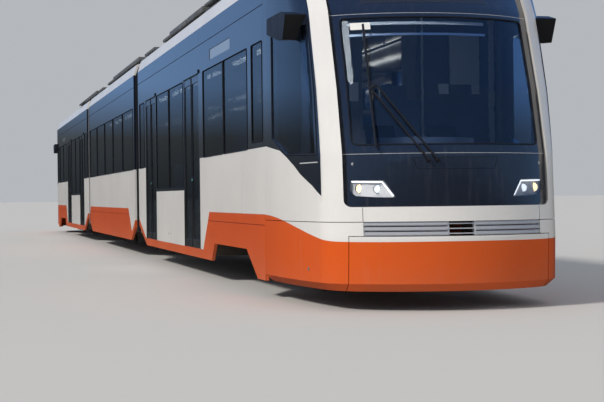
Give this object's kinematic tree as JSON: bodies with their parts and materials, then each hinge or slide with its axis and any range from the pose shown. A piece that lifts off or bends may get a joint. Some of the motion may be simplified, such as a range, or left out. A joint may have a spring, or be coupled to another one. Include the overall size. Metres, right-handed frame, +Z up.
{
  "type": "articulated tram",
  "caption": "Low-floor articulated tram with two cabs, bellows between its cars, plug doors and a folded roof pantograph.",
  "frame": {"origin": "centre of the tram, on the floor below the wheel flanges", "axes": "+X forward towards the nose that carries the pantograph, +Y to the left, +Z up"},
  "size_m": [37.0696, 2.67, 3.7748],
  "materials": {
    "white_paint": "gloss white body paint",
    "orange_paint": "gloss orange body paint",
    "black_paint": "gloss blue-black paint",
    "cab_glass": "tinted safety glass",
    "door_paint": "black powder coat",
    "roof_paint": "matt white paint",
    "roof_unit_paint": "matt grey paint",
    "underframe_steel": "dark grey primer with dust",
    "bogie_steel": "dusty dark grey paint",
    "wheel_steel": "rolled steel, bright tread",
    "bellows_rubber": "coated fabric, folded",
    "end_frame_paint": "grey anodised aluminium",
    "grille_metal": "satin silver louvres",
    "fitting_plastic": "black plastic and painted steel",
    "interior_fabric": "blue seats with grey shells",
    "pantograph_steel": "grey painted steel with carbon strips"
  },
  "bodies": {
    "middle_car": {"middle_underframe": "underframe_steel", "middle_window_frames": "black_paint", "middle_side_panels": "white_paint", "middle_skirts": "orange_paint", "middle_glass": "cab_glass", "middle_roof": "roof_paint", "middle_roof_units": "roof_unit_paint", "middle_interior": "interior_fabric", "middle_end_frames": "end_frame_paint"},
    "front_car": {"front_underframe": "underframe_steel", "front_window_frames": "black_paint", "front_side_panels": "white_paint", "front_skirts": "orange_paint", "front_cab_shell": "white_paint", "front_cab_mask": "black_paint", "front_bumper_flap": "orange_paint", "front_grille": "grille_metal", "front_glass": "cab_glass", "front_doors": "door_paint", "front_roof": "roof_paint", "front_roof_units": "roof_unit_paint", "front_cab_fittings": "fitting_plastic", "front_interior": "interior_fabric", "front_end_frame": "end_frame_paint", "front_bellows": "bellows_rubber"},
    "rear_car": {"rear_underframe": "underframe_steel", "rear_window_frames": "black_paint", "rear_side_panels": "white_paint", "rear_skirts": "orange_paint", "rear_cab_shell": "white_paint", "rear_cab_mask": "black_paint", "rear_bumper_flap": "orange_paint", "rear_grille": "grille_metal", "rear_glass": "cab_glass", "rear_doors": "door_paint", "rear_roof": "roof_paint", "rear_roof_units": "roof_unit_paint", "rear_cab_fittings": "fitting_plastic", "rear_interior": "interior_fabric", "rear_end_frame": "end_frame_paint", "rear_bellows": "bellows_rubber"},
    "front_cab_door": {"front_cab_door": "white_paint"},
    "rear_cab_door": {"rear_cab_door": "white_paint"},
    "front_bogie": {"front_bogie": "bogie_steel"},
    "front_bogie_wheelset_1": {"front_bogie_wheelset_1": "wheel_steel"},
    "front_bogie_wheelset_2": {"front_bogie_wheelset_2": "wheel_steel"},
    "middle_front_bogie": {"middle_front_bogie": "bogie_steel"},
    "middle_front_bogie_wheelset_1": {"middle_front_bogie_wheelset_1": "wheel_steel"},
    "middle_front_bogie_wheelset_2": {"middle_front_bogie_wheelset_2": "wheel_steel"},
    "middle_rear_bogie": {"middle_rear_bogie": "bogie_steel"},
    "middle_rear_bogie_wheelset_1": {"middle_rear_bogie_wheelset_1": "wheel_steel"},
    "middle_rear_bogie_wheelset_2": {"middle_rear_bogie_wheelset_2": "wheel_steel"},
    "rear_bogie": {"rear_bogie": "bogie_steel"},
    "rear_bogie_wheelset_1": {"rear_bogie_wheelset_1": "wheel_steel"},
    "rear_bogie_wheelset_2": {"rear_bogie_wheelset_2": "wheel_steel"},
    "pantograph_lower_arm": {"pantograph_lower_arm": "pantograph_steel"},
    "pantograph_upper_arm": {"pantograph_upper_arm": "pantograph_steel"},
    "pantograph_head": {"pantograph_head": "pantograph_steel"}
  },
  "joints": [
    {"name": "front_articulation", "type": "hinge", "parent": "middle_car", "child": "front_car", "pos_m": [4.96, 0, 0.605], "axis": [0, 0, 1], "range_deg": [-24, 24], "deforming": ["front_bellows"]},
    {"name": "rear_articulation", "type": "hinge", "parent": "middle_car", "child": "rear_car", "pos_m": [-4.96, 0, 0.605], "axis": [0, 0, 1], "range_deg": [-24, 24], "deforming": ["rear_bellows"]},
    {"name": "front_bogie_yaw", "type": "hinge", "parent": "front_car", "child": "front_bogie", "pos_m": [14.285, 0, 0.7], "axis": [0, 0, 1], "range_deg": [-9, 9]},
    {"name": "front_bogie_wheelset_1_spin", "type": "hinge", "parent": "front_bogie", "child": "front_bogie_wheelset_1", "pos_m": [15.185, 0, 0.388], "axis": [0, 1, 0], "continuous": true},
    {"name": "front_bogie_wheelset_2_spin", "type": "hinge", "parent": "front_bogie", "child": "front_bogie_wheelset_2", "pos_m": [13.385, 0, 0.388], "axis": [0, 1, 0], "continuous": true},
    {"name": "middle_front_bogie_yaw", "type": "hinge", "parent": "middle_car", "child": "middle_front_bogie", "pos_m": [2.9, 0, 0.7], "axis": [0, 0, 1], "range_deg": [-7, 7]},
    {"name": "middle_front_bogie_wheelset_1_spin", "type": "hinge", "parent": "middle_front_bogie", "child": "middle_front_bogie_wheelset_1", "pos_m": [3.8, 0, 0.388], "axis": [0, 1, 0], "continuous": true},
    {"name": "middle_front_bogie_wheelset_2_spin", "type": "hinge", "parent": "middle_front_bogie", "child": "middle_front_bogie_wheelset_2", "pos_m": [2, 0, 0.388], "axis": [0, 1, 0], "continuous": true},
    {"name": "middle_rear_bogie_yaw", "type": "hinge", "parent": "middle_car", "child": "middle_rear_bogie", "pos_m": [-2.9, 0, 0.7], "axis": [0, 0, 1], "range_deg": [-7, 7]},
    {"name": "middle_rear_bogie_wheelset_1_spin", "type": "hinge", "parent": "middle_rear_bogie", "child": "middle_rear_bogie_wheelset_1", "pos_m": [-2, 0, 0.388], "axis": [0, 1, 0], "continuous": true},
    {"name": "middle_rear_bogie_wheelset_2_spin", "type": "hinge", "parent": "middle_rear_bogie", "child": "middle_rear_bogie_wheelset_2", "pos_m": [-3.8, 0, 0.388], "axis": [0, 1, 0], "continuous": true},
    {"name": "rear_bogie_yaw", "type": "hinge", "parent": "rear_car", "child": "rear_bogie", "pos_m": [-14.285, 0, 0.7], "axis": [0, 0, 1], "range_deg": [-9, 9]},
    {"name": "rear_bogie_wheelset_1_spin", "type": "hinge", "parent": "rear_bogie", "child": "rear_bogie_wheelset_1", "pos_m": [-13.385, 0, 0.388], "axis": [0, 1, 0], "continuous": true},
    {"name": "rear_bogie_wheelset_2_spin", "type": "hinge", "parent": "rear_bogie", "child": "rear_bogie_wheelset_2", "pos_m": [-15.185, 0, 0.388], "axis": [0, 1, 0], "continuous": true},
    {"name": "front_cab_door_hinge", "type": "hinge", "parent": "front_car", "child": "front_cab_door", "pos_m": [16.095, 0.335, 1.9], "axis": [0, 0, 1], "range_deg": [-95, 0]},
    {"name": "rear_cab_door_hinge", "type": "hinge", "parent": "rear_car", "child": "rear_cab_door", "pos_m": [-16.095, -0.335, 1.9], "axis": [0, 0, 1], "range_deg": [-95, 0]},
    {"name": "pantograph_lower_hinge", "type": "hinge", "parent": "front_car", "child": "pantograph_lower_arm", "pos_m": [12.935, 0, 3.58], "axis": [0, -1, 0], "range_deg": [0, 50]},
    {"name": "pantograph_knee", "type": "hinge", "parent": "pantograph_lower_arm", "child": "pantograph_upper_arm", "pos_m": [14.835, 0, 3.64], "axis": [0, -1, 0], "range_deg": [-100, 0]},
    {"name": "pantograph_head_pivot", "type": "hinge", "parent": "pantograph_upper_arm", "child": "pantograph_head", "pos_m": [12.935, 0, 3.7], "axis": [0, -1, 0], "range_deg": [0, 50]}
  ],
  "couplings": [
    {"joint": "pantograph_knee", "follows": "pantograph_lower_hinge", "ratio": -2},
    {"joint": "pantograph_head_pivot", "follows": "pantograph_lower_hinge", "ratio": 1}
  ]
}
